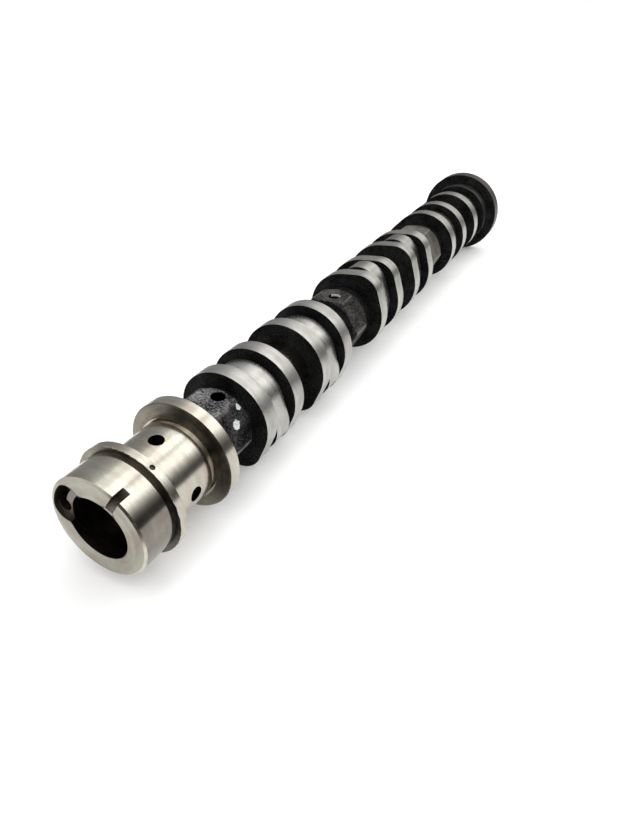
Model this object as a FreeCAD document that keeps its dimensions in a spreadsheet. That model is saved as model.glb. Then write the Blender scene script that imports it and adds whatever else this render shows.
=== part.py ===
"""Camshaft of a three-cylinder bank: one casting, turned and ground.

The shaft lies along +Y with its nose at y = 0, and +Z is up.  From the nose
come the drive nose with its bore, the front ring, the front journal, the
thrust ring, and then three cylinders with two valves each.  Every valve has
a group of three lobes: two side lobes and a wider centre lobe with more
lift, whose nose lies some degrees away from theirs.  A ground journal stands between the two groups of a cylinder, and a
hexagonal section stands before each cylinder.  A flange closes the rear.
"""
import FreeCAD, Part
import math
import os
import re
import Sketcher

V = FreeCAD.Vector

# Driving dimensions in millimetres and degrees.
SIZES = {
    "nose_diameter": 38.5,
    "nose_chamfer_width": 0.85,
    "nose_chamfer_run": 0.6,
    "nose_relief_width": 1.5,
    "nose_relief_depth": 0.5,
    "front_ring_start": 14.3,
    "front_ring_thickness": 3.2,
    "front_ring_diameter": 42.7,
    "front_ring_chamfer": 0.15,
    "front_journal_diameter": 31.98,
    "front_journal_length": 21.0,
    "journal_relief_width": 1.5,
    "journal_relief_depth": 0.8,
    "shoulder_diameter": 33.4,
    "shoulder_width": 1.4,
    "thrust_ring_diameter": 43.6,
    "thrust_ring_thickness": 5.8,
    "ring_chamfer": 0.4,
    "neck_diameter": 24.6,
    "journal_diameter": 23.98,
    "first_valve": 83.0,
    "valve_spacing": 45.0,
    "cylinder_spacing": 107.0,
    "side_lobe_width": 7.0,
    "side_lobe_offset": 10.5,
    "side_base_diameter": 39.4,
    "side_lift": 2.8,
    "side_nose_radius": 10.6,
    "centre_lobe_width": 9.4,
    "centre_base_diameter": 32.4,
    "centre_lift": 4.7,
    "centre_nose_radius": 11.0,
    "centre_phase": 19.0,
    "lobe_core_diameter": 29.0,
    "slot_angle": 56.5,
    "firing_step": 120.0,
    "hexagon_across_flats": 28.0,
    "hexagon_corner_diameter": 31.6,
    "hexagon_length": 14.7,
    "hexagon_front_chamfer": 0.6,
    "hexagon_rear_chamfer": 3.5,
    "hexagon_neck_run": 1.0,
    "first_hexagon_gap": 1.8,
    "hexagon_gap": 6.3,
    "first_facet_turn": 26.5,
    "facet_turn": 34.5,
    "rear_flange_gap": 0.8,
    "rear_flange_thickness": 8.0,
    "rear_flange_diameter": 50.3,
    "rear_centre_diameter": 10.0,
    "rear_centre_pilot": 4.0,
    "rear_centre_depth": 12.0,
    "rear_centre_angle": 60.0,
    "nose_bore_diameter": 24.0,
    "nose_bore_depth": 34.0,
    "gallery_diameter": 8.0,
    "gallery_end": 284.0,
    "drill_point_angle": 118.0,
    "slot_width": 3.0,
    "slot_depth": 5.2,
    "slot_floor_radius": 12.9,
    "pocket_turn": 96.5,
    "pocket_half_span": 15.3,
    "ledge_radius": 12.9,
    "ledge_width": 10.0,
    "ledge_depth": 1.9,
    "pocket_radius": 16.2,
    "pocket_width": 3.4,
    "pocket_depth": 6.0,
    "pocket_hole_turn": 113.5,
    "pocket_hole_radius": 15.0,
    "pocket_hole_diameter": 5.2,
    "pocket_hole_depth": 9.0,
    "journal_hole_offset": 11.9,
    "journal_hole_turn": 27.0,
    "journal_hole_diameter": 5.6,
    "journal_hole_count": 4,
    "oil_hole_lean": 3.0,
    "oil_hole_diameter": 5.8,
    "first_oil_hole_inset": 4.0,
    "oil_hole_inset": 8.0,
    "dimple_diameter": 2.0,
    "dimple_depth": 0.7,
}

doc = FreeCAD.newDocument("camshaft")

sheet = doc.addObject("Spreadsheet::Sheet", "Sizes")
for row, (name, value) in enumerate(SIZES.items(), start=1):
    sheet.set("A%d" % row, name)
    sheet.set("B%d" % row, str(value))
    sheet.setAlias("B%d" % row, name)
doc.recompute()


def formula(text):
    """Points every size name in a formula at its cell in the sheet."""
    return re.sub(r"[a-z]+(?:_[a-z]+)+", lambda m: "Sizes." + m.group(0), text)


# Stations along the shaft, written as formulas of the sizes.
FRONT_RING_END = "front_ring_start + front_ring_thickness"
JOURNAL_END = FRONT_RING_END + " + front_journal_length"
SHOULDER_START = JOURNAL_END + " + journal_relief_width"
THRUST_START = SHOULDER_START + " + shoulder_width"
THRUST_END = THRUST_START + " + thrust_ring_thickness"
GROUP_HALF = "(side_lobe_offset + side_lobe_width / 2)"
LAST_VALVE = "first_valve + 2 * cylinder_spacing + valve_spacing"
FLANGE_START = LAST_VALVE + " + " + GROUP_HALF + " + rear_flange_gap"
FLANGE_END = FLANGE_START + " + rear_flange_thickness"


def valve_centre(cylinder, valve):
    """Formula for the middle of a valve's lobe group."""
    return "first_valve + %d * cylinder_spacing + %d * valve_spacing" % (cylinder, valve)


def lobe_angle(cylinder, kind):
    """Formula for the direction of a cylinder's cam noses, from +X towards +Z."""
    angle = "slot_angle + %d * firing_step" % (cylinder - 1)
    return angle + " + centre_phase" if kind == "centre" else angle


def facet_angle(cylinder):
    """Formula for the outward direction of the facet that carries the oil hole."""
    if cylinder == 0:
        return "slot_angle + first_facet_turn"
    return "slot_angle + facet_turn"


def hexagon_end(cylinder):
    """Formula for the rear end of the hexagonal section before a cylinder."""
    gap = "first_hexagon_gap" if cylinder == 0 else "hexagon_gap"
    return valve_centre(cylinder, 0) + " - " + GROUP_HALF + " - " + gap


def hexagon_start(cylinder):
    """Formula for the front end of the hexagonal section before a cylinder."""
    if cylinder == 0:
        return THRUST_END
    return hexagon_end(cylinder) + " - hexagon_length"


body = doc.addObject("PartDesign::Body", "camshaft")
body.Label = "camshaft"


def origin_feature(role):
    """Finds one of the body's own planes or axes."""
    return next(item for item in body.Origin.OriginFeatures if item.Role == role)


def new_sketch(name, plane):
    """Starts a sketch on one of the body's origin planes."""
    sketch = body.newObject("Sketcher::SketchObject", name)
    sketch.AttachmentSupport = [(origin_feature(plane), "")]
    sketch.MapMode = "FlatFace"
    return sketch


def cross_section(name, station, angle="0"):
    """Starts a sketch square to the shaft, at a station, turned to an angle."""
    sketch = new_sketch(name, "XZ_Plane")
    sketch.AttachmentOffset = FreeCAD.Placement(V(0, 0, 0), FreeCAD.Rotation(V(0, 0, 1), 1))
    sketch.setExpression("AttachmentOffset.Base.z", "-(" + formula(station) + ")")
    sketch.setExpression("AttachmentOffset.Rotation.Angle", formula(angle))
    return sketch


def radial_section(name, height, angle):
    """Starts a sketch parallel to the shaft that faces outwards at an angle."""
    sketch = new_sketch(name, "XY_Plane")
    sketch.AttachmentOffset = FreeCAD.Placement(V(0, 0, 0), FreeCAD.Rotation(V(0, 1, 0), 1))
    turn = "(90 - (" + formula(angle) + "))"
    lift = "(" + formula(height) + ")"
    sketch.setExpression("AttachmentOffset.Rotation.Angle", turn)
    sketch.setExpression("AttachmentOffset.Base.x", lift + " * sin(" + turn + " * 1 deg)")
    sketch.setExpression("AttachmentOffset.Base.z", lift + " * cos(" + turn + " * 1 deg)")
    return sketch


def bind(sketch, kind, *args):
    """Adds a dimension to a sketch and drives it by a formula, its last argument."""
    *where, text = args
    index = sketch.addConstraint(Sketcher.Constraint(kind, *where, 1.0))
    sketch.setExpression("Constraints[%d]" % index, formula(text))


def stepped_profile(sketch, stations):
    """Draws a closed profile through stations of (distance along, radius) formulas."""
    count = len(stations)
    for i in range(count):
        j = (i + 1) % count
        sketch.addGeometry(Part.LineSegment(V(i, 5 + i % 2, 0), V(j, 5 + j % 2, 0)))
    for i, (along, radius) in enumerate(stations):
        sketch.addConstraint(Sketcher.Constraint("Coincident", i, 2, (i + 1) % count, 1))
        for kind, axis, text in (("DistanceX", -2, along), ("DistanceY", -1, radius)):
            if text == "0":
                sketch.addConstraint(Sketcher.Constraint("PointOnObject", i, 1, axis))
            else:
                bind(sketch, kind, -1, 1, i, 1, text)


def add_circle(sketch, diameter, along=None):
    """Draws a circle on the sketch's origin, or at a distance up its vertical axis."""
    value = SIZES[diameter]
    sketch.addGeometry(Part.Circle(V(0, 1.0 if along else 0.0, 0), V(0, 0, 1), value / 2))
    if along:
        sketch.addConstraint(Sketcher.Constraint("PointOnObject", 0, 3, -2))
        bind(sketch, "DistanceY", -1, 1, 0, 3, along)
    else:
        sketch.addConstraint(Sketcher.Constraint("Coincident", 0, 3, -1, 1))
    bind(sketch, "Diameter", 0, diameter)


def feature(kind, name, sketch, length, reverse=True):
    """Pads or pockets a sketch.

    Reversed, a pad grows to the rear and a pocket cuts outwards from the axis.
    Not reversed, a pocket cuts to the rear.
    """
    item = body.newObject("PartDesign::" + kind, name)
    item.Profile = sketch
    item.Reversed = reverse
    item.setExpression("Length", formula(length))
    sketch.Visibility = False
    body.Tip = item
    return item


def revolve(kind, name, sketch):
    """Turns a profile, or a groove, a full circle about the shaft's axis."""
    item = body.newObject("PartDesign::" + kind, name)
    item.Profile = sketch
    item.ReferenceAxis = (sketch, ["H_Axis"])
    item.Angle = 360.0
    body.Tip = item
    return item


# The turned blank: nose, rings, front journal, cast core, journals and rear flange.
NOSE = "nose_diameter / 2"
NOSE_RELIEF = "nose_diameter / 2 - nose_relief_depth"
FRONT_RING = "front_ring_diameter / 2"
FRONT_JOURNAL = "front_journal_diameter / 2"
JOURNAL_RELIEF = "front_journal_diameter / 2 - journal_relief_depth"
SHOULDER = "shoulder_diameter / 2"
THRUST_RING = "thrust_ring_diameter / 2"
NECK = "neck_diameter / 2"
JOURNAL = "journal_diameter / 2"
CORE = "lobe_core_diameter / 2"
FLANGE = "rear_flange_diameter / 2"
FLAT = "hexagon_across_flats / 2"
CORNER = "hexagon_corner_diameter / 2"

blank_stations = [
    ("0", "0"),
    ("0", NOSE + " - nose_chamfer_width"),
    ("nose_chamfer_run", NOSE),
    ("front_ring_start - nose_relief_width", NOSE),
    ("front_ring_start - nose_relief_width", NOSE_RELIEF),
    ("front_ring_start", NOSE_RELIEF),
    ("front_ring_start", FRONT_RING + " - front_ring_chamfer"),
    ("front_ring_start + front_ring_chamfer", FRONT_RING),
    (FRONT_RING_END + " - front_ring_chamfer", FRONT_RING),
    (FRONT_RING_END, FRONT_RING + " - front_ring_chamfer"),
    (FRONT_RING_END, FRONT_JOURNAL),
    (JOURNAL_END, FRONT_JOURNAL),
    (JOURNAL_END, JOURNAL_RELIEF),
    (SHOULDER_START, JOURNAL_RELIEF),
    (SHOULDER_START, SHOULDER),
    (THRUST_START, SHOULDER),
    (THRUST_START, THRUST_RING + " - ring_chamfer"),
    (THRUST_START + " + ring_chamfer", THRUST_RING),
    (THRUST_END + " - ring_chamfer", THRUST_RING),
    (THRUST_END, THRUST_RING + " - ring_chamfer"),
]
for cylinder in range(3):
    first = valve_centre(cylinder, 0)
    second = valve_centre(cylinder, 1)
    if cylinder == 0:
        blank_stations.append((THRUST_END, CORNER))
    else:
        blank_stations += [
            (hexagon_start(cylinder) + " - hexagon_neck_run", NECK),
            (hexagon_start(cylinder), FLAT),
            (hexagon_start(cylinder) + " + hexagon_front_chamfer", CORNER),
        ]
    blank_stations += [
        (hexagon_end(cylinder) + " - hexagon_rear_chamfer", CORNER),
        (hexagon_end(cylinder), FLAT),
        (first + " - side_lobe_offset", NECK),
        (first + " - side_lobe_offset", CORE),
        (first + " + side_lobe_offset", CORE),
        (first + " + side_lobe_offset", JOURNAL),
        (second + " - side_lobe_offset", JOURNAL),
        (second + " - side_lobe_offset", CORE),
        (second + " + side_lobe_offset", CORE),
        (second + " + side_lobe_offset", NECK),
    ]
blank_stations += [
    (FLANGE_START, NECK),
    (FLANGE_START, FLANGE + " - ring_chamfer"),
    (FLANGE_START + " + ring_chamfer", FLANGE),
    (FLANGE_END + " - ring_chamfer", FLANGE),
    (FLANGE_END, FLANGE + " - ring_chamfer"),
    (FLANGE_END, "0"),
]
blank_profile = new_sketch("blank_profile", "YZ_Plane")
stepped_profile(blank_profile, blank_stations)
blank = revolve("Revolution", "blank", blank_profile)
doc.recompute()


def hexagon_sketch(cylinder):
    """Draws a ring between a circle and a hexagon with one flat square to the facet direction."""
    sketch = cross_section(
        "hexagon_profile_%d" % (cylinder + 1), hexagon_start(cylinder), facet_angle(cylinder) + " - 30"
    )
    radius = SIZES["hexagon_across_flats"] / 2 / math.cos(math.pi / 6)
    corners = [
        V(radius * math.cos(math.radians(60 * k)), radius * math.sin(math.radians(60 * k)), 0)
        for k in range(6)
    ]
    for k in range(6):
        sketch.addGeometry(Part.LineSegment(corners[k], corners[(k + 1) % 6]))
    sketch.addGeometry(Part.Circle(V(0, 0, 0), V(0, 0, 1), radius), True)
    sketch.addGeometry(Part.Circle(V(0, 0, 0), V(0, 0, 1), radius + 1))
    for circle in (6, 7):
        sketch.addConstraint(Sketcher.Constraint("Coincident", circle, 3, -1, 1))
    for k in range(6):
        sketch.addConstraint(Sketcher.Constraint("Coincident", k, 2, (k + 1) % 6, 1))
        sketch.addConstraint(Sketcher.Constraint("PointOnObject", k, 1, 6))
    for k in range(5):
        sketch.addConstraint(Sketcher.Constraint("Equal", k, k + 1))
    sketch.addConstraint(Sketcher.Constraint("PointOnObject", 0, 1, -1))
    bind(sketch, "Diameter", 6, "hexagon_across_flats / cos(30 deg)")
    bind(sketch, "Diameter", 7, "hexagon_across_flats / cos(30 deg) + side_lobe_width / 2")
    return sketch


# The hexagonal sections: flats cut on the chamfered round left by the blank.
for cylinder in range(3):
    length = "(" + hexagon_end(cylinder) + ") - (" + hexagon_start(cylinder) + ")"
    feature("Pocket", "hexagon_%d" % (cylinder + 1), hexagon_sketch(cylinder), length, reverse=False)
doc.recompute()


def lobe_sketch(name, station, angle, kind):
    """Draws a cam: a base circle and a nose circle joined by straight tangent flanks.

    The nose points along the sketch's own horizontal axis, so the angle of
    the cross section sets the direction of the lift.
    """
    sketch = cross_section(name, station, angle)
    base = SIZES[kind + "_base_diameter"] / 2
    nose = SIZES[kind + "_nose_radius"]
    reach = base + SIZES[kind + "_lift"] - nose
    turn = math.acos((base - nose) / reach)
    base_circle = Part.Circle(V(0, 0, 0), V(0, 0, 1), base)
    nose_circle = Part.Circle(V(reach, 0, 0), V(0, 0, 1), nose)
    lean = V(math.cos(turn), math.sin(turn), 0)
    mirror = V(lean.x, -lean.y, 0)
    centre = V(reach, 0, 0)
    sketch.addGeometry(Part.ArcOfCircle(base_circle, turn, 2 * math.pi - turn))
    sketch.addGeometry(Part.ArcOfCircle(nose_circle, -turn, turn))
    sketch.addGeometry(Part.LineSegment(lean * base, centre + lean * nose))
    sketch.addGeometry(Part.LineSegment(centre + mirror * nose, mirror * base))
    sketch.addConstraint(Sketcher.Constraint("Coincident", 0, 3, -1, 1))
    sketch.addConstraint(Sketcher.Constraint("PointOnObject", 1, 3, -1))
    for line_end, arc_end in (((2, 1), (0, 1)), ((2, 2), (1, 2)), ((3, 1), (1, 1)), ((3, 2), (0, 2))):
        sketch.addConstraint(Sketcher.Constraint("Tangent", *line_end, *arc_end))
    bind(sketch, "Radius", 0, kind + "_base_diameter / 2")
    bind(sketch, "Radius", 1, kind + "_nose_radius")
    reach_formula = "KIND_base_diameter / 2 + KIND_lift - KIND_nose_radius".replace("KIND", kind)
    bind(sketch, "DistanceX", -1, 1, 1, 3, reach_formula)
    return sketch


# The lobes: a side lobe, the centre lobe and a second side lobe for each valve.
for cylinder in range(3):
    for valve in range(2):
        middle = valve_centre(cylinder, valve)
        lobes = [
            ("front", "side", middle + " - side_lobe_offset - side_lobe_width / 2"),
            ("middle", "centre", middle + " - centre_lobe_width / 2"),
            ("rear", "side", middle + " + side_lobe_offset - side_lobe_width / 2"),
        ]
        for place, kind, start in lobes:
            name = "%s_lobe_%d_%d" % (place, cylinder + 1, valve + 1)
            sketch = lobe_sketch(name + "_profile", start, lobe_angle(cylinder, kind), kind)
            feature("Pad", name, sketch, kind + "_lobe_width")
    doc.recompute()

# The nose bore and the oil gallery behind it, bored in one groove with a drill point.
BORE = "nose_bore_diameter / 2"
GALLERY = "gallery_diameter / 2"
bore_profile = new_sketch("bore_profile", "YZ_Plane")
stepped_profile(bore_profile, [
    ("0", "0"),
    ("0", BORE),
    ("nose_bore_depth", BORE),
    ("nose_bore_depth + (" + BORE + " - " + GALLERY + ") / tan(drill_point_angle / 2 * 1 deg)", GALLERY),
    ("gallery_end", GALLERY),
    ("gallery_end + " + GALLERY + " / tan(drill_point_angle / 2 * 1 deg)", "0"),
])
revolve("Groove", "bore", bore_profile)
doc.recompute()


def arc_slot_sketch(name, radius, width):
    """Draws a slot that follows an arc about the shaft's axis."""
    sketch = cross_section(name, "0", "slot_angle + pocket_turn")
    middle = SIZES[radius]
    half = SIZES[width] / 2
    span = math.radians(SIZES["pocket_half_span"])
    tip = V(middle * math.cos(span), middle * math.sin(span), 0)
    low_tip = V(tip.x, -tip.y, 0)
    for size in (middle - half, middle + half):
        circle = Part.Circle(V(0, 0, 0), V(0, 0, 1), size)
        sketch.addGeometry(Part.ArcOfCircle(circle, -span, span))
    upper = Part.Circle(tip, V(0, 0, 1), half)
    lower = Part.Circle(low_tip, V(0, 0, 1), half)
    sketch.addGeometry(Part.ArcOfCircle(upper, span, span + math.pi))
    sketch.addGeometry(Part.ArcOfCircle(lower, math.pi - span, 2 * math.pi - span))
    for k in (0, 1):
        sketch.addConstraint(Sketcher.Constraint("Coincident", k, 3, -1, 1))
    for end, arc_end in (((1, 2), (2, 1)), ((0, 2), (2, 2)), ((0, 1), (3, 1)), ((1, 1), (3, 2))):
        sketch.addConstraint(Sketcher.Constraint("Tangent", *end, *arc_end))
    bind(sketch, "Radius", 0, "%s - %s / 2" % (radius, width))
    bind(sketch, "Radius", 1, "%s + %s / 2" % (radius, width))
    bind(sketch, "DistanceY", -1, 1, 2, 3, "%s * sin(pocket_half_span * 1 deg)" % radius)
    bind(sketch, "DistanceY", 3, 3, -1, 1, "%s * sin(pocket_half_span * 1 deg)" % radius)
    return sketch


def offset_circle_sketch(name, station, angle, radius, diameter):
    """Draws a circle off the shaft's axis, at a radius in the direction of an angle."""
    sketch = cross_section(name, station, angle)
    sketch.addGeometry(Part.Circle(V(SIZES[radius], 0, 0), V(0, 0, 1), SIZES[diameter] / 2))
    sketch.addConstraint(Sketcher.Constraint("PointOnObject", 0, 3, -1))
    bind(sketch, "DistanceX", -1, 1, 0, 3, radius)
    bind(sketch, "Diameter", 0, diameter)
    return sketch


# The oil pocket in the nose face: a shallow ledge open to the bore, a deeper
# kidney-shaped slot along its outer side and a drilled hole at the slot's end.
ledge_profile = arc_slot_sketch("ledge_profile", "ledge_radius", "ledge_width")
feature("Pocket", "ledge", ledge_profile, "ledge_depth", reverse=False)
pocket_profile = arc_slot_sketch("pocket_profile", "pocket_radius", "pocket_width")
feature("Pocket", "pocket", pocket_profile, "pocket_depth", reverse=False)
pocket_hole_profile = offset_circle_sketch(
    "pocket_hole_profile", "0", "slot_angle + pocket_hole_turn", "pocket_hole_radius", "pocket_hole_diameter"
)
feature("Pocket", "pocket_hole", pocket_hole_profile, "pocket_hole_depth", reverse=False)
doc.recompute()

# The locating slot, cut from the nose face into the wall and open on the outside.
slot_profile = cross_section("slot_profile", "0", "slot_angle")
low, high = SIZES["slot_floor_radius"], SIZES["nose_diameter"]
side = SIZES["slot_width"] / 2
slot_corners = [V(low, -side, 0), V(high, -side, 0), V(high, side, 0), V(low, side, 0)]
for k in range(4):
    slot_profile.addGeometry(Part.LineSegment(slot_corners[k], slot_corners[(k + 1) % 4]))
for k in range(4):
    slot_profile.addConstraint(Sketcher.Constraint("Coincident", k, 2, (k + 1) % 4, 1))
for k, kind in enumerate(("Horizontal", "Vertical", "Horizontal")):
    slot_profile.addConstraint(Sketcher.Constraint(kind, k))
slot_profile.addConstraint(Sketcher.Constraint("Symmetric", 3, 2, 3, 1, -1))
bind(slot_profile, "DistanceX", -1, 1, 0, 1, "slot_floor_radius")
bind(slot_profile, "DistanceX", -1, 1, 0, 2, "nose_diameter")
bind(slot_profile, "DistanceY", 0, 1, 2, 2, "slot_width")
feature("Pocket", "slot", slot_profile, "slot_depth", reverse=False)

# The oil holes in the front journal, drilled through to the bore and repeated around it.
hole_profile = radial_section("journal_hole_profile", "0", "slot_angle + journal_hole_turn")
add_circle(hole_profile, "journal_hole_diameter", FRONT_RING_END + " + journal_hole_offset")
journal_hole = feature("Pocket", "journal_hole", hole_profile, "front_journal_diameter")
journal_holes = body.newObject("PartDesign::PolarPattern", "journal_holes")
journal_holes.Originals = [journal_hole]
journal_holes.Axis = (origin_feature("Y_Axis"), [""])
journal_holes.Angle = 360.0
journal_holes.setExpression("Occurrences", formula("journal_hole_count"))
body.Tip = journal_holes
doc.recompute()

# The oil hole in the upper facet of the first two hexagonal sections.
for cylinder in range(2):
    inset = "first_oil_hole_inset" if cylinder == 0 else "oil_hole_inset"
    direction = facet_angle(cylinder) + " - oil_hole_lean"
    sketch = radial_section("oil_hole_profile_%d" % (cylinder + 1), "0", direction)
    add_circle(sketch, "oil_hole_diameter", hexagon_end(cylinder) + " - " + inset)
    feature("Pocket", "oil_hole_%d" % (cylinder + 1), sketch, "hexagon_across_flats")

# The timing dimple drilled in the rim of the front ring, in line with the slot.
dimple_profile = radial_section("dimple_profile", FRONT_RING + " - dimple_depth", "slot_angle")
add_circle(dimple_profile, "dimple_diameter", "front_ring_start + front_ring_thickness / 2")
feature("Pocket", "dimple", dimple_profile, "front_ring_thickness")

# The machining centre in the rear face.
CENTRE = "rear_centre_diameter / 2"
PILOT = "rear_centre_pilot / 2"
centre_profile = new_sketch("centre_profile", "YZ_Plane")
stepped_profile(centre_profile, [
    (FLANGE_END, "0"),
    (FLANGE_END, CENTRE),
    (FLANGE_END + " - (" + CENTRE + " - " + PILOT + ") / tan(rear_centre_angle / 2 * 1 deg)", PILOT),
    (FLANGE_END + " - rear_centre_depth", PILOT),
    (FLANGE_END + " - rear_centre_depth - " + PILOT + " / tan(drill_point_angle / 2 * 1 deg)", "0"),
])
revolve("Groove", "rear_centre", centre_profile)
doc.recompute()

# Every object must be sound before the piece is written.
for item in doc.Objects:
    if "Invalid" in item.State or "Error" in item.State:
        raise RuntimeError("%s is %s" % (item.Name, item.State))
if body.Shape.isNull() or not body.Shape.isValid() or len(body.Shape.Solids) != 1:
    raise RuntimeError("the shaft is not one valid solid")

os.makedirs("parts", exist_ok=True)
body.Shape.exportStep("parts/" + body.Label + ".step")
print(body.Label, round(body.Shape.Volume / 1000, 1), "cm3", body.Shape.BoundBox)
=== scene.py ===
# %% [markdown]
# # A camshaft on a white table
#
# This lesson dresses one machined part: a camshaft, cast in iron and then
# turned, drilled and ground.  Its shape is finished before the lesson starts,
# so the work here is all about surfaces, light and the camera.  A cast part
# is a good first study of metal, because rough black skin and bright cut
# faces meet along every edge.

# %% Load the shaft
import math
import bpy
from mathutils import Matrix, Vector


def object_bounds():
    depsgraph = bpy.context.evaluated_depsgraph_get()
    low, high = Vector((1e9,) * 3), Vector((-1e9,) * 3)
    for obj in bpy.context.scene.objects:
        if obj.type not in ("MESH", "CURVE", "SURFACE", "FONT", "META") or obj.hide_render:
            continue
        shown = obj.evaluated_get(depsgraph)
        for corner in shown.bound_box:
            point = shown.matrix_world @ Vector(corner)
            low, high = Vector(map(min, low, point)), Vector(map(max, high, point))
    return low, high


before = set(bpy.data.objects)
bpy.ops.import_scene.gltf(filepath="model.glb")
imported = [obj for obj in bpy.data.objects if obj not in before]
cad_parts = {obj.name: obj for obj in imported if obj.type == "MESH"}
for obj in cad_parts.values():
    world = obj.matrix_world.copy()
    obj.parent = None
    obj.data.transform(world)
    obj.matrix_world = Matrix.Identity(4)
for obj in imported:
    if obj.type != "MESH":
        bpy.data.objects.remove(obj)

from types import SimpleNamespace

import bpy
from mathutils import Vector

cad_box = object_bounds()
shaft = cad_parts["camshaft"]
MM = 0.001
print("shaft faces:", len(shaft.data.polygons))

# %% [markdown]
# ## Where each finish begins and ends
#
# The real shaft is one piece of iron, and its finishes are places on it, not
# separate pieces.  Sorting the faces of one mesh into material slots keeps it
# that way, and the border between two finishes then falls exactly on an edge
# of the metal.  These are the places along the shaft, in millimetres from the
# end of the nose, where one feature ends and the next begins.  The groups of
# lobes, one for each valve, are given by their middles.

# %% Stations along the shaft
NOSE_END = 14.3
FRONT_RING_END = 17.5
JOURNAL_END = 38.5
THRUST_START = 41.4
THRUST_END = 47.2
FIRST_VALVE, VALVE_SPACING, CYLINDER_SPACING = 83.0, 45.0, 107.0
VALVES = [
    FIRST_VALVE + CYLINDER_SPACING * cylinder + VALVE_SPACING * valve
    for cylinder in range(3) for valve in range(2)
]
GROUP_HALF = 14.0
REAR_FLANGE = 356.8
HEXAGON_ENDS = [67.2, 169.7, 276.7]
HEXAGON_LENGTHS = [20.0, 14.7, 14.7]
OIL_HOLES = [63.2, 161.7]
print("middles of the lobe groups:", VALVES)


# %% [markdown]
# ## A short way to write materials
#
# A material is a small graph of nodes.  Written out in full each one takes
# many lines, so these helpers add one node, join its inputs and hand back its
# output.  An input can be a plain value or the output of another node.

# %% Helpers for node graphs
def add_node(tree, kind, output=0, settings=None, **inputs):
    """Adds a node, fills its inputs by name or number and returns one output."""
    node = tree.nodes.new(kind)
    for key, value in (settings or {}).items():
        setattr(node, key, value)
    for key, value in inputs.items():
        by_number = key.startswith("_")
        socket = node.inputs[int(key[1:]) if by_number else key]
        if isinstance(value, bpy.types.NodeSocket):
            tree.links.new(value, socket)
        else:
            socket.default_value = value
    return node.outputs[output]


def math_node(tree, operation, a, b=0.0, c=0.0):
    """One step of arithmetic."""
    return add_node(tree, "ShaderNodeMath", settings={"operation": operation}, _0=a, _1=b, _2=c)


def blend_colours(tree, factor, low, high):
    """Mixes two colours by a factor."""
    return add_node(tree, "ShaderNodeMix", 2, {"data_type": "RGBA"}, _0=factor, _6=low, _7=high)


def remap(tree, value, low, high, to_low=0.0, to_high=1.0):
    """Stretches one range of numbers onto another."""
    return add_node(tree, "ShaderNodeMapRange", _0=value, _1=low, _2=high, _3=to_low, _4=to_high)


def noise(tree, vector, scale, detail=3.0, rough=0.55):
    """Cloudy variation between 0 and 1."""
    return add_node(
        tree, "ShaderNodeTexNoise", Vector=vector, Scale=scale, Detail=detail, Roughness=rough)


print("helpers: add_node, math_node, blend_colours, remap, noise")

# %% [markdown]
# ## Colours and places
#
# Bare iron is grey with a little less blue, and its stains are brown, so two
# helpers name a colour by how light it is and how far it leans.  The finishes
# also need to know where they are on the shaft.  The point comes from the
# object's own coordinates, in metres, and from it follow the radius and the
# angle round the axis.

# %% Colours and coordinates
def grey(level, warmth=0.0):
    """A grey, tinted a little towards brown."""
    return (level * (1 + warmth), level, level * (1 - warmth), 1.0)


def steel(level, yellow=0.16):
    """The grey of cut iron, which swallows a little of the blue."""
    return (level * 1.01, level * 0.99, level * (1 - yellow), 1.0)


def new_material(name):
    """Starts a material and returns it with its tree and its main shader."""
    material = bpy.data.materials.new(name)
    material.use_nodes = True
    tree = material.node_tree
    return material, tree, tree.nodes["Principled BSDF"]


def shaft_coordinates(tree):
    """Gives the place on the shaft: the point, its way along, its radius and its angle."""
    point = add_node(tree, "ShaderNodeTexCoord", "Object")
    parts = tree.nodes.new("ShaderNodeSeparateXYZ")
    tree.links.new(point, parts.inputs[0])
    x, y, z = parts.outputs
    x_squared = math_node(tree, "MULTIPLY", x, x)
    z_squared = math_node(tree, "MULTIPLY", z, z)
    radius = math_node(tree, "SQRT", math_node(tree, "ADD", x_squared, z_squared))
    angle = math_node(tree, "ARCTAN2", z, x)
    return point, y, radius, angle


print("iron grey:", [round(channel, 3) for channel in steel(0.5)[:3]])

# %% [markdown]
# ## Two dabs of white paint
#
# Someone marked the first hexagon with two dabs of white paint.  A dab is a
# place where the finish changes, so it needs no geometry: the distance to its
# middle, made uneven with a little noise, is a mask that mixes paint over
# whatever lies below it.  The dabs lie where three finishes meet, the upper
# face of the hexagon, its darker side and the turned corner between them, so
# all three materials call the same helper.

# %% Paint dabs
PAINT_DABS = [((10.35, 64.5, 11.3), 1.45), ((12.4, 59.8, 6.6), 1.8)]
PAINT_WHITE = (0.78, 0.80, 0.79, 1.0)
PAINT_SHADE = (0.42, 0.46, 0.45, 1.0)
PAINT_ROUGH = 0.6
PAINT_PATCHES, PAINT_THIN = 1800.0, (0.35, 0.6)
DAB_WAVES, DAB_RAGGED = 1100.0, 1.3
DAB_INSIDE, DAB_OUTSIDE = 0.55, 0.75


def paint_mask(tree, point):
    """1 inside the dabs of paint and 0 outside them."""
    waves = noise(tree, point, DAB_WAVES, detail=2.0)
    uneven = math_node(tree, "MULTIPLY", waves, DAB_RAGGED * MM)
    mask = 0.0
    for centre, radius in PAINT_DABS:
        place = [value * MM for value in centre]
        away = add_node(
            tree, "ShaderNodeVectorMath", 1, {"operation": "DISTANCE"}, _0=point, _1=place)
        away = math_node(tree, "ADD", away, uneven)
        inside, outside = (radius + DAB_INSIDE) * MM, (radius + DAB_OUTSIDE) * MM
        mask = math_node(tree, "MAXIMUM", mask, remap(tree, away, inside, outside, 1.0, 0.0))
    return mask


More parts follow.
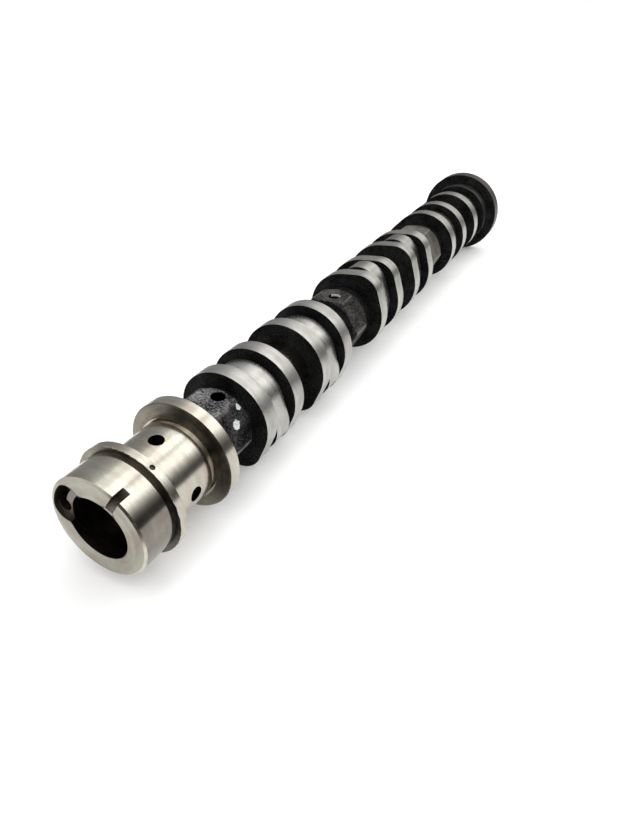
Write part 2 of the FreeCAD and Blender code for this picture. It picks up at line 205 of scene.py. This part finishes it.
def paint_over(tree, shader, point, colour, rough, metal):
    """Joins colour, roughness and metal to the shader with the paint on top."""
    mask = paint_mask(tree, point)
    thin = remap(tree, noise(tree, point, PAINT_PATCHES, detail=2.0), *PAINT_THIN)
    paint = blend_colours(tree, thin, PAINT_SHADE, PAINT_WHITE)
    tree.links.new(blend_colours(tree, mask, colour, paint), shader.inputs["Base Color"])
    tree.links.new(remap(tree, mask, 0.0, 1.0, rough, PAINT_ROUGH), shader.inputs["Roughness"])
    if metal > 0.0:
        tree.links.new(remap(tree, mask, 0.0, 1.0, metal, 0.0), shader.inputs["Metallic"])


print("dabs of paint:", len(PAINT_DABS))

# %% [markdown]
# ## Rings and stains
#
# A lathe or a grinding wheel leaves fine rings that run around the work.
# They are far too fine to model, and the eye knows them by the way they
# stretch a reflection.  Noise on a coordinate that changes fast along the
# shaft and slowly around it gives such rings on rims, and the radius does the
# same on flat faces.  The rings drive the roughness and a very shallow bump,
# some of the rings are a little darker, and soft stains lie over it all.

# %% Rings and stains
AROUND_SQUEEZE = 0.004
CLOUD_SCALE, STREAK_SCALE, WORN = 90.0, 300.0, (0.16, 0.34)
SCRATCH_SHADE = 0.8
COARSE_SCRATCHES = (0.52, 0.68, 0.0, 0.8)
FINE_SCRATCHES = (0.56, 0.72, 0.0, 0.7)


def ring_coordinates(tree, along, radius, angle):
    """A coordinate that hardly changes around the axis, for marks that run around it."""
    around = math_node(tree, "MULTIPLY", angle, AROUND_SQUEEZE)
    return add_node(tree, "ShaderNodeCombineXYZ", X=along, Y=radius, Z=around)


def worn_colour(tree, point, rings, coarse, fine, colour, stain):
    """The bare colour with soft stains, and darker along the scratches."""
    clouds = noise(tree, point, CLOUD_SCALE, detail=4.0)
    streaks = noise(tree, rings, STREAK_SCALE, detail=3.0)
    wear = remap(tree, math_node(tree, "MULTIPLY", clouds, streaks), *WORN)
    tint = blend_colours(tree, wear, colour, stain)
    scratch = [SCRATCH_SHADE * channel for channel in colour[:3]] + [1.0]
    tint = blend_colours(tree, remap(tree, coarse, *COARSE_SCRATCHES), tint, scratch)
    return blend_colours(tree, remap(tree, fine, *FINE_SCRATCHES), tint, scratch)


print("scratches keep", SCRATCH_SHADE, "of the colour")

# %% [markdown]
# ## Painted shade on one side
#
# Some turned faces are darker and browner on one side.  This is painted
# shade: the colour stands in for the darker reflection on that side.  The
# side is a direction round the axis, and the cosine of the angle to it falls
# away evenly on both sides, so it makes a mask without a seam.  A painted
# shade is written as that direction, the angles where it is gone and where it
# is full, all in degrees, and its colour.

# %% Painted shade on one side
MOTTLE_SCALE, MOTTLE = 260.0, (0.2, 0.7, 0.75, 1.0)


def painted_shade_mask(tree, angle, direction, clear, full):
    """1 where the painted shade is full and 0 where it is gone."""
    from_middle = math_node(tree, "SUBTRACT", angle, math.radians(direction))
    facing = math_node(tree, "COSINE", from_middle)
    return remap(tree, facing, math.cos(math.radians(clear)), math.cos(math.radians(full)))


def painted_shade_over(tree, point, angle, tint, painted_shade):
    """Lays the mottled painted shade over the colour."""
    mottle = remap(tree, noise(tree, point, MOTTLE_SCALE, detail=3.0), *MOTTLE)
    mask = math_node(tree, "MULTIPLY", painted_shade_mask(tree, angle, *painted_shade[:3]), mottle)
    return blend_colours(tree, mask, tint, painted_shade[3])


# Painted shade: each of these darkens and browns one side of a turned face, where its reflection
# is darker.
NOSE_PAINTED_SHADE = (-12.0, 62.0, 40.0, grey(0.16, 0.12))
CHAMFER_PAINTED_SHADE = (36.0, 34.0, 16.0, grey(0.02, 0.28))
FACE_PAINTED_SHADE = (32.0, 100.0, 48.0, grey(0.022, 0.26))
print("painted shades face", [painted_shade[0] for painted_shade in (NOSE_PAINTED_SHADE, CHAMFER_PAINTED_SHADE, FACE_PAINTED_SHADE)], "degrees")


# %% [markdown]
# ## One recipe for every cut finish
#
# All cut surfaces share one recipe and differ in numbers: the colour and its
# stain, the range of the roughness, the pitch of the rings and the depth of
# their grooves in millimetres, and how far they stretch a reflection.  A
# radial tangent about the shaft's own axis points that stretch the right way.

# %% Cut steel
COARSER = 4.0
RING_DETAIL, RING_ROUGH = 2.0, 0.6
GLOSS_RANGE = (0.25, 0.75)


def cut_steel(name, colour, stain, rough, pitch, groove, stretch, painted_shade=None, painted=False):
    """Turned or ground metal, perhaps with painted shade on one side or paint on it."""
    material, tree, shader = new_material(name)
    point, along, radius, angle = shaft_coordinates(tree)
    rings = ring_coordinates(tree, along, radius, angle)
    fine = noise(tree, rings, 1.0 / (pitch * MM), RING_DETAIL, RING_ROUGH)
    coarse = noise(tree, rings, 1.0 / (COARSER * pitch * MM), RING_DETAIL, RING_ROUGH)
    tint = worn_colour(tree, point, rings, coarse, fine, colour, stain)
    if painted_shade:
        tint = painted_shade_over(tree, point, angle, tint, painted_shade)
    gloss = remap(tree, fine, *GLOSS_RANGE, *rough)
    if painted:
        paint_over(tree, shader, point, tint, gloss, 1.0)
    else:
        tree.links.new(tint, shader.inputs["Base Color"])
        tree.links.new(gloss, shader.inputs["Roughness"])
        shader.inputs["Metallic"].default_value = 1.0
    shader.inputs["Anisotropic"].default_value = stretch
    radial = {"direction_type": "RADIAL", "axis": "Y"}
    tree.links.new(add_node(tree, "ShaderNodeTangent", settings=radial), shader.inputs["Tangent"])
    bump = add_node(tree, "ShaderNodeBump", Strength=1.0, Distance=groove * MM, Height=fine)
    tree.links.new(bump, shader.inputs["Normal"])
    return material


turned = cut_steel(
    "turned steel", steel(0.51), grey(0.37, 0.14),
    rough=(0.13, 0.22), pitch=0.16, groove=0.0012, stretch=0.5)
nose_steel = cut_steel(
    "turned nose", steel(0.52), grey(0.38, 0.14),
    rough=(0.11, 0.20), pitch=0.16, groove=0.001, stretch=0.5, painted_shade=NOSE_PAINTED_SHADE)
chamfer = cut_steel(
    "nose chamfer", steel(0.62), grey(0.5, 0.14),
    rough=(0.45, 0.55), pitch=0.16, groove=0.001, stretch=0.3, painted_shade=CHAMFER_PAINTED_SHADE)
end_face = cut_steel(
    "turned end face", steel(0.41), grey(0.25, 0.18),
    rough=(0.26, 0.42), pitch=0.22, groove=0.003, stretch=0.5)
# Painted shade: the faces of the rings are coloured darker than the rims.
painted_shade_ring_face = cut_steel(
    "turned ring face in painted shade", steel(0.34), grey(0.18, 0.2),
    rough=(0.30, 0.42), pitch=0.3, groove=0.003, stretch=0.6, painted_shade=FACE_PAINTED_SHADE)
ground = cut_steel(
    "ground lobe", steel(0.47, 0.07), steel(0.32, 0.1),
    rough=(0.26, 0.40), pitch=0.24, groove=0.003, stretch=0.4)
honed = cut_steel(
    "smooth centre lobe", steel(0.46, 0.07), steel(0.33, 0.1),
    rough=(0.22, 0.34), pitch=0.24, groove=0.002, stretch=0.4)
journal_steel = cut_steel(
    "ground journal", steel(0.50, 0.14), grey(0.38, 0.1),
    rough=(0.10, 0.18), pitch=0.12, groove=0.0008, stretch=0.5)
print("bright finishes ready")

# %% [markdown]
# ## The duller cuts
#
# Some faces were only touched by a cutter, or lie where no hand can polish
# them: the turned corners of the hexagons, the rim of the flange, the third
# hexagon, the pocket and the holes.  The same recipe makes them, darker and
# rougher.  The bores and holes are darker still, as painted shade, because
# little light finds its way out, and the drilled holes are nearly black.
# The rim of the flange also carries painted shade for the light that fades
# towards the far end.

# %% Dull cut steel
corner = cut_steel(
    "scuffed corner", grey(0.14, 0.06), grey(0.03, 0.08),
    rough=(0.36, 0.52), pitch=0.3, groove=0.004, stretch=0.2, painted=True)
# Partly painted shade: the flange rim is dull and also coloured darker for the light that fades
# towards the far end.
painted_shade_flange_rim = cut_steel(
    "dull flange rim in painted shade", grey(0.08, 0.12), grey(0.04, 0.16),
    rough=(0.38, 0.52), pitch=0.25, groove=0.003, stretch=0.3)
hexagon_cut = cut_steel(
    "machined hexagon", steel(0.24), grey(0.12, 0.08),
    rough=(0.42, 0.55), pitch=0.4, groove=0.004, stretch=0.2)
pocket = cut_steel(
    "milled pocket", grey(0.20, 0.12), grey(0.08, 0.2),
    rough=(0.30, 0.45), pitch=0.3, groove=0.004, stretch=0.2)
# Painted shade: the bores are coloured dark because little light reaches into them.
painted_shade_bore = cut_steel(
    "bored hole in painted shade", grey(0.10, 0.14), grey(0.04, 0.2),
    rough=(0.26, 0.40), pitch=0.4, groove=0.003, stretch=0.2)
# Painted shade: the drilled holes and the deep end of the slot are coloured nearly black.
painted_shade_hole = cut_steel(
    "drilled hole in painted shade", grey(0.012, 0.1), grey(0.006, 0.1),
    rough=(0.45, 0.60), pitch=0.4, groove=0.003, stretch=0.1)
print("dull cut finishes ready")


# %% [markdown]
# ## Cast skin
#
# Where no tool has been, the iron keeps the print of the sand it was poured
# in: black, grainy and a little shiny where the shot blasting burnished the
# grains.  Two sizes of noise make the grain, and the higher grains are
# smoother and paler than the hollows between them.  The faces of the hexagons
# are cast as well, and hands and trays have rubbed some of them paler.

# %% Cast skin
HOLLOW, CREST = 0.58, 0.80
FINE_GRAIN, BROAD_GRAIN = 0.8, 0.5
BROAD_SCALE = 120.0
SKIN_BUMP = 0.7


def cast_skin(name, low, high, rough_low, rough_high, grain, depth, metallic, shine,
              painted=False):
    """Iron as it comes from the mould."""
    material, tree, shader = new_material(name)
    point = add_node(tree, "ShaderNodeTexCoord", "Object")
    fine = noise(tree, point, 1.0 / (grain * MM), detail=3.0, rough=0.65)
    broad = noise(tree, point, BROAD_SCALE, detail=4.0)
    fine = math_node(tree, "MULTIPLY", fine, FINE_GRAIN)
    broad = math_node(tree, "MULTIPLY", broad, BROAD_GRAIN)
    height = math_node(tree, "ADD", fine, broad)
    tint = blend_colours(tree, remap(tree, height, HOLLOW, CREST), low, high)
    gloss = remap(tree, height, HOLLOW, CREST, rough_high, rough_low)
    if painted:
        paint_over(tree, shader, point, tint, gloss, metallic)
    else:
        tree.links.new(tint, shader.inputs["Base Color"])
        tree.links.new(gloss, shader.inputs["Roughness"])
        shader.inputs["Metallic"].default_value = metallic
    shader.inputs["Specular IOR Level"].default_value = shine
    bump = add_node(
        tree, "ShaderNodeBump", Strength=SKIN_BUMP, Distance=depth * MM, Height=height)
    tree.links.new(bump, shader.inputs["Normal"])
    return material


black_skin = cast_skin(
    "cast skin", grey(0.002), grey(0.02), rough_low=0.45, rough_high=0.8,
    grain=0.75, depth=0.16, metallic=0.0, shine=0.08)
hexagon_skin = cast_skin(
    "cast hexagon face", grey(0.006), grey(0.24), rough_low=0.40, rough_high=0.7,
    grain=0.75, depth=0.22, metallic=0.2, shine=0.15, painted=True)
# Painted shade: the right side of the first hexagon gets this darker copy of its skin.
painted_shade_hexagon_skin = cast_skin(
    "hexagon face in painted shade", grey(0.002), grey(0.06), rough_low=0.45, rough_high=0.75,
    grain=0.75, depth=0.22, metallic=0.0, shine=0.06, painted=True)
rubbed_skin = cast_skin(
    "rubbed hexagon face", grey(0.005), grey(0.095, 0.08), rough_low=0.38, rough_high=0.66,
    grain=0.75, depth=0.16, metallic=0.3, shine=0.14)
print("cast finishes ready")


# %% [markdown]
# ## Painted light in an oil hole
#
# The hole of the second hexagon has something pale on its upper wall, most
# likely dried paste, and is black below.  The pale is painted light, where
# light from above reaches the wall, and the black is painted shade.  The
# radius, measured from the axis of the shaft, tells how deep a point of the
# wall lies, so it can change the finish part of the way down.

# %% Pale hole wall
PAINTED_LIGHT_EDGE = 12.8
PAINTED_LIGHT_BEGINS, PAINTED_LIGHT_FULL = 0.2, 0.5
PAINTED_LIGHT_WAVES, PAINTED_LIGHT_RAGGED = 900.0, 0.6


def hole_wall(name, edge):
    """A hole wall with painted light near its mouth and near-black painted shade below."""
    material, tree, shader = new_material(name)
    point, _, radius, _ = shaft_coordinates(tree)
    waves = noise(tree, point, PAINTED_LIGHT_WAVES, detail=2.0)
    height = math_node(tree, "ADD", radius, math_node(tree, "MULTIPLY", waves, PAINTED_LIGHT_RAGGED * MM))
    mask = remap(tree, height, (edge + PAINTED_LIGHT_BEGINS) * MM, (edge + PAINTED_LIGHT_FULL) * MM)
    # Painted light near the mouth of the hole, near-black painted shade deeper down.
    painted_light_and_shade = blend_colours(tree, mask, grey(0.004), grey(0.75, 0.02))
    tree.links.new(painted_light_and_shade, shader.inputs["Base Color"])
    shader.inputs["Roughness"].default_value = 0.6
    shader.inputs["Specular IOR Level"].default_value = 0.2
    return material


painted_light_hole = hole_wall("hole wall in painted light and shade", PAINTED_LIGHT_EDGE)
print("paste reaches down to a radius of", PAINTED_LIGHT_EDGE, "mm")

# %% [markdown]
# ## Give every face its finish
#
# The mesh has one material slot for each finish, and a face names its slot by
# number.  Each face is measured once: how far along the shaft its middle is,
# how far from the axis and at what angle, how much it looks outward and how
# much towards an end.  A rim is a face that looks away from the axis more
# than along it.  A face that lies on a station may be off it by a rounding,
# so the borders have a little slack.

# %% Number the finishes and measure a face
FINISHES = [
    black_skin, turned, nose_steel, end_face, painted_shade_ring_face, chamfer,
    ground, honed, journal_steel, painted_shade_bore, painted_shade_hole, painted_light_hole,
    pocket, corner, painted_shade_flange_rim, painted_shade_hexagon_skin, hexagon_skin, rubbed_skin, hexagon_cut,
]
(CAST, TURNED, NOSE, END_FACE, PAINTED_SHADE_RING_FACE, CHAMFER,
 GROUND, HONED, JOURNAL, PAINTED_SHADE_BORE, PAINTED_SHADE_HOLE, PAINTED_LIGHT_HOLE,
 POCKET, CORNER, PAINTED_SHADE_FLANGE_RIM, PAINTED_SHADE_SIDE, *HEXAGONS) = range(len(FINISHES))
RIM_LIMIT = 0.5
SLACK, FINE_SLACK = 0.1, 0.05
END_FLAT = 0.02
TINY = 1e-6


def measure(face):
    """Where a face lies and which way it looks, in millimetres and degrees."""
    x, y, z = (value / MM for value in face.center)
    spot = SimpleNamespace(along=y, radius=math.hypot(x, z), angle=math.degrees(math.atan2(z, x)))
    spot.outward = (face.normal.x * x + face.normal.z * z) / max(spot.radius, TINY)
    spot.endward = abs(face.normal.y)
    spot.is_rim = spot.endward < RIM_LIMIT
    return spot


print("finishes:", len(FINISHES))

# %% [markdown]
# ## Holes, slot and pocket first
#
# Walls inside the metal come first, because they lie within the reach of the
# outer surfaces.  A wall of a hole looks across the radius, not outward, and
# that is how it differs from the rim it was drilled through.  The first line
# of numbers says how far outward each kind of wall may look.

# %% Finish of a wall
OIL_WALL, JOURNAL_WALL, BORE_WALL, DIMPLE_WALL, INNER_WALL = 0.6, 0.9, 0.2, 0.5, 0.3
OIL_HOLE_ANGLE, OIL_HOLE_SPREAD, OIL_HOLE_REACH = 84.0, 18.0, 3.0
JOURNAL_BORE, JOURNAL_MARGIN = 12.02, 0.5
BORE_RADIUS, BORE_REACH = 12.3, 60.0
CENTRE_RADIUS, CENTRE_LIMIT = 5.2, 0.95
GALLERY_RADIUS = 11.5
SLOT_ANGLE = 56.5
DIMPLE_START, DIMPLE_END, DIMPLE_SPREAD, DIMPLE_RADIUS = 14.8, 17.0, 4.0, 21.2
POCKET_END, POCKET_FLOOR = 9.1, 6.05
POCKET_RADIUS, SLOT_RADIUS = 18.0, 19.1


def wall_finish(spot):
    """The finish of a wall inside the metal, or None for an outer face."""
    if spot.outward < OIL_WALL and abs(spot.angle - OIL_HOLE_ANGLE) < OIL_HOLE_SPREAD:
        for centre, finish in zip(OIL_HOLES, (PAINTED_SHADE_HOLE, PAINTED_LIGHT_HOLE)):
            if abs(spot.along - centre) < OIL_HOLE_REACH:
                return finish
    if FRONT_RING_END + JOURNAL_MARGIN < spot.along < JOURNAL_END - JOURNAL_MARGIN:
        if spot.outward < JOURNAL_WALL and spot.radius > JOURNAL_BORE:
            return PAINTED_SHADE_HOLE
    if spot.radius < BORE_RADIUS and spot.along < BORE_REACH and spot.outward < BORE_WALL:
        return PAINTED_SHADE_BORE
    if spot.along > REAR_FLANGE and spot.radius < CENTRE_RADIUS and spot.endward < CENTRE_LIMIT:
        return PAINTED_SHADE_BORE
    if DIMPLE_START < spot.along < DIMPLE_END and spot.is_rim:
        if abs(spot.angle - SLOT_ANGLE) < DIMPLE_SPREAD and spot.radius < DIMPLE_RADIUS:
            return PAINTED_SHADE_BORE if spot.outward < DIMPLE_WALL else PAINTED_SHADE_RING_FACE
    if spot.is_rim and spot.outward < INNER_WALL and spot.radius < GALLERY_RADIUS:
        return PAINTED_SHADE_BORE
    # The deep end of the slot takes the nearly black painted shade of the holes.
    if END_FLAT < spot.along < POCKET_END and spot.radius < SLOT_RADIUS:
        if spot.radius < POCKET_RADIUS or spot.outward < INNER_WALL:
            return PAINTED_SHADE_HOLE if spot.along > POCKET_FLOOR else POCKET
    return None


print("oil holes at", OIL_HOLES, "mm")

# %% [markdown]
# ## The nose and its rings
#
# The front of the shaft was turned all over.  Only the way a face looks
# matters here: rims are bright, and the faces of the rings are darker,
# painted shade for the shadowed metal and floor that they mirror.  The
# chamfer round the end of the nose has a finish of its own.

# %% Finish of the turned front
CHAMFER_RUN, CHAMFER_RADIUS = 0.6, 18.3


def front_finish(spot):
    """The finish of the nose, the rings and the front journal, or None beyond them."""
    if spot.along < END_FLAT:
        return END_FACE
    if spot.along < NOSE_END - FINE_SLACK:
        is_chamfer = spot.along < CHAMFER_RUN and spot.radius > CHAMFER_RADIUS
        return CHAMFER if is_chamfer and not spot.is_rim else NOSE
    if spot.along < NOSE_END + FINE_SLACK:
        return NOSE if spot.is_rim else PAINTED_SHADE_RING_FACE
    if spot.along < THRUST_START - SLACK:
        return TURNED
    if spot.along < THRUST_END + SLACK:
        return TURNED if spot.is_rim else PAINTED_SHADE_RING_FACE
    return None


print("turned front ends at", THRUST_END, "mm")

# %% [markdown]
# ## Lobes, hexagons and journals
#
# The grinding wheel touched the lobes only on their rims, so their sides stay
# black.  The first two hexagons are cast with turned corners, and the third
# was machined all over.  The right side of the first hexagon gets a darker
# skin, painted shade for the light that falls past that side.  What is left
# over was never machined and keeps its cast skin.

# %% Finish of the rest
LOBE_CORE = 15.5
CENTRE_LOBE_REACH = 7.0
CORNER_RADIUS = 15.5
PAINTED_SHADE_ANGLE = 53.5
JOURNAL_REACH = 12.5


def rear_finish(spot):
    """The finish of everything behind the thrust ring."""
    for valve in VALVES:
        offset = abs(spot.along - valve)
        if offset < GROUP_HALF + SLACK:
            if not spot.is_rim or spot.radius < LOBE_CORE:
                return CAST
            return GROUND if offset > CENTRE_LOBE_REACH else HONED
    for end, length, finish in zip(HEXAGON_ENDS, HEXAGON_LENGTHS, HEXAGONS):
        if end - length - SLACK < spot.along < end + SLACK:
            if spot.is_rim and spot.radius > CORNER_RADIUS and finish != HEXAGONS[-1]:
                return CORNER
            in_painted_shade = finish == HEXAGONS[0] and spot.angle < PAINTED_SHADE_ANGLE
            return PAINTED_SHADE_SIDE if in_painted_shade else finish
    if spot.along > REAR_FLANGE + FINE_SLACK and spot.is_rim:
        return PAINTED_SHADE_FLANGE_RIM
    for front, rear in zip(VALVES[0::2], VALVES[1::2]):
        if front < spot.along < rear and spot.radius < JOURNAL_REACH:
            return JOURNAL
    return CAST


print("third hexagon ends at", HEXAGON_ENDS[-1], "mm")

# %% [markdown]
# ## Sort the faces
#
# The three helpers are asked in turn, and the first answer counts.  The mesh
# comes with its own stored normals, which would fight with the modifiers of
# the next step, so they are taken off and the faces are shaded smooth.

# %% Sort the faces into finishes
def finish_of(face):
    """The number of a face's finish."""
    spot = measure(face)
    for helper in (wall_finish, front_finish):
        finish = helper(spot)
        if finish is not None:
            return finish
    return rear_finish(spot)


shaft.data.attributes.remove(shaft.data.attributes["custom_normal"])
shaft.data.materials.clear()
for material in FINISHES:
    shaft.data.materials.append(material)
counts = [0] * len(FINISHES)
for face in shaft.data.polygons:
    face.material_index = finish_of(face)
    face.use_smooth = True
    counts[face.material_index] += 1
print("faces per finish:", dict(zip([m.name for m in FINISHES], counts)))

# %% [markdown]
# ## Edges that catch the light
#
# No real edge is perfectly sharp.  A cutter leaves a tiny flat on it, and
# that flat is what draws the thin bright line around every rim.  The Weld
# modifier first joins the points that the faces share, the Bevel modifier
# then breaks each edge by a tenth of a millimetre, and the mesh itself stays
# as it came.

# %% Break the edges
weld = shaft.modifiers.new("join shared points", "WELD")
weld.merge_threshold = 0.002 * MM
bevel = shaft.modifiers.new("broken edges", "BEVEL")
bevel.width = 0.12 * MM
bevel.segments = 2
bevel.limit_method = "ANGLE"
bevel.angle_limit = math.radians(28)
bevel.harden_normals = True
bevel.use_clamp_overlap = True
print("edges broken by", round(bevel.width / MM, 2), "mm")

# %% [markdown]
# ## The table
#
# The shaft lies along a narrow white table, whose long edges run 12 cm to the
# left of the shaft's axis and 27 cm to the right of it.  That matters in
# polished metal: a rim that looks low to one side sees past the edge of the
# table into a darker part of the room, and that draws the dark line which
# parts it from the white ground.  The table also glows a little, but only to
# the camera and in reflections, which the Light Path node tells apart.  It
# stays white there, and its own shading still takes the shadow of the shaft.

# %% Table
FLOOR_HEIGHT = cad_box[0][2]
TABLE_LEFT, TABLE_RIGHT, TABLE_NEAR, TABLE_FAR = -0.12, 0.27, -0.6, 2.6
TABLE_GLOW = 0.16
bpy.ops.mesh.primitive_plane_add(size=1.0)
table = bpy.context.object
table.name = "table"
table.location = ((TABLE_LEFT + TABLE_RIGHT) / 2, (TABLE_NEAR + TABLE_FAR) / 2, FLOOR_HEIGHT)
table.scale = (TABLE_RIGHT - TABLE_LEFT, TABLE_FAR - TABLE_NEAR, 1.0)
material, tree, shader = new_material("white table")
shader.inputs["Base Color"].default_value = grey(0.85)
shader.inputs["Roughness"].default_value = 0.7
path = tree.nodes.new("ShaderNodeLightPath")
seen = math_node(tree, "MAXIMUM", path.outputs["Is Camera Ray"], path.outputs["Is Glossy Ray"])
seen = math_node(tree, "MAXIMUM", seen, path.outputs["Is Transmission Ray"])
shader.inputs["Emission Color"].default_value = grey(1.0)
tree.links.new(math_node(tree, "MULTIPLY", seen, TABLE_GLOW), shader.inputs["Emission Strength"])
table.data.materials.append(material)
print("table:", round(table.scale.x, 2), "by", round(table.scale.y, 2), "m")

# %% [markdown]
# ## The light tent
#
# Bright metal has no colour of its own to speak of: it shows the room.  A
# photographer puts such a part in a tent of white cloth with darker panels,
# and this sphere is that tent.  Its brightness follows the angle round the
# shaft, because a cylinder mirrors one such angle along each of its lines:
# two bright strips overhead with a duller one between them, a soft slope to
# the left, and a dark panel low on the right.  Each panel is written as an
# angle from straight up, in degrees to the right, and a brightness.

# %% Cloth of the tent
TENT_RADIUS = 8.0
PANELS = [
    (-180, 0.34), (-95, 0.34), (-70, 0.36), (-50, 0.46), (-36, 0.66),
    (-29, 0.85), (-24, 1.5), (-7, 1.6), (-2, 2.5), (10, 2.5),
    (15, 1.35), (20, 1.35), (26, 2.35), (46, 2.35), (56, 1.2),
    (68, 0.36), (80, 0.08), (94, 0.10), (104, 0.12), (180, 0.12),
]
BRIGHTEST = 2.5
material, tree, shader = new_material("tent cloth")
place = add_node(tree, "ShaderNodeTexCoord", "Object")
direction = add_node(tree, "ShaderNodeVectorMath", settings={"operation": "NORMALIZE"}, _0=place)
parts = tree.nodes.new("ShaderNodeSeparateXYZ")
tree.links.new(direction, parts.inputs[0])
rightward, farward, upward = parts.outputs
side = math_node(tree, "ARCTAN2", rightward, upward)
ramp = tree.nodes.new("ShaderNodeValToRGB")
tree.links.new(remap(tree, side, -math.pi, math.pi), ramp.inputs[0])
stops = ramp.color_ramp.elements
while len(stops) < len(PANELS):
    stops.new(0.5)
for stop, (degrees, level) in zip(stops, PANELS):
    stop.position = (degrees + 180.0) / 360.0
    stop.color = grey(level / BRIGHTEST)
print("tent panels:", len(PANELS))

# %% [markdown]
# ## Dimmer ends
#
# The tent is not equally bright from end to end.  Behind the camera it is
# dim, except overhead, and towards the far end of the shaft it grows dim
# again.  One patch behind the camera and to its left stays pale, like a
# window in that dim part of a room.  Each range of numbers says where a
# change begins and where it is complete, as parts of a direction.  The camera
# looks through the cloth, straight at the world.

# %% Light tent
DIM_CLOTH, PALE_PATCH = grey(0.04, 0.15), grey(0.4)
BEHIND, OVERHEAD, FAR_END = (-0.25, -0.75, 1.0, 0.25), (0.45, 0.75), (0.78, 0.93, 1.0, 0.28)
PATCH_LEFT, PATCH_BEHIND = (-0.35, -0.65), (-0.3, -0.5)
behind = remap(tree, farward, *BEHIND)
behind.node.interpolation_type = "SMOOTHSTEP"
near = math_node(tree, "MAXIMUM", behind, remap(tree, upward, *OVERHEAD))
dimmed = math_node(tree, "MULTIPLY", near, remap(tree, farward, *FAR_END))
glow = blend_colours(tree, dimmed, DIM_CLOTH, ramp.outputs[0])
leftward = remap(tree, rightward, *PATCH_LEFT)
patch = math_node(tree, "MULTIPLY", leftward, remap(tree, farward, *PATCH_BEHIND))
glow = blend_colours(tree, patch, glow, PALE_PATCH)
shader.inputs["Base Color"].default_value = grey(0.0)
shader.inputs["Specular IOR Level"].default_value = 0.0
tree.links.new(glow, shader.inputs["Emission Color"])
shader.inputs["Emission Strength"].default_value = BRIGHTEST
bpy.ops.mesh.primitive_uv_sphere_add(segments=64, ring_count=32, radius=TENT_RADIUS)
tent = bpy.context.object
tent.name = "light tent"
tent.visible_camera = False
tent.data.materials.append(material)
print("tent:", 2 * TENT_RADIUS, "m across")

# %% [markdown]
# ## The world
#
# The world is what the camera sees beyond the table.  Plain white at a
# strength of 1 renders as exactly white, the same as the lit table, so the
# edges of the table don't show.

# %% World
world = bpy.data.worlds.new("plain white world")
bpy.context.scene.world = world
world.use_nodes = True
background = world.node_tree.nodes["Background"]
background.inputs["Color"].default_value = grey(1.0)
background.inputs["Strength"].default_value = 1.0
print("world:", world.name)

# %% [markdown]
# ## The camera
#
# The camera stands a little in front of the nose and above it, close enough
# for the shaft to shrink quickly towards the far end.  Its place and aim were
# worked out from the rings of the shaft, whose ellipses fix both.  The focal
# length is known in pixels of the picture, and the sensor turns it into a lens.

# %% Camera
CAMERA_PLACE = (0.1301, -0.0991, 0.1456)
CAMERA_AIM = (-0.3905, 0.7225, -0.5705)
FOCAL_PIXELS = 659.2
PICTURE_HEIGHT = 836
camera_data = bpy.data.cameras.new("camera")
camera_data.sensor_width = 36.0
camera_data.sensor_fit = "AUTO"
camera_data.lens = FOCAL_PIXELS * camera_data.sensor_width / PICTURE_HEIGHT
camera_data.clip_start = 0.005
camera = bpy.data.objects.new("camera", camera_data)
bpy.context.scene.collection.objects.link(camera)
camera.location = CAMERA_PLACE
camera.rotation_euler = Vector(CAMERA_AIM).to_track_quat("-Z", "Y").to_euler()
bpy.context.scene.camera = camera
bpy.context.scene.view_settings.view_transform = "Standard"
print("lens:", round(camera_data.lens, 2), "mm")
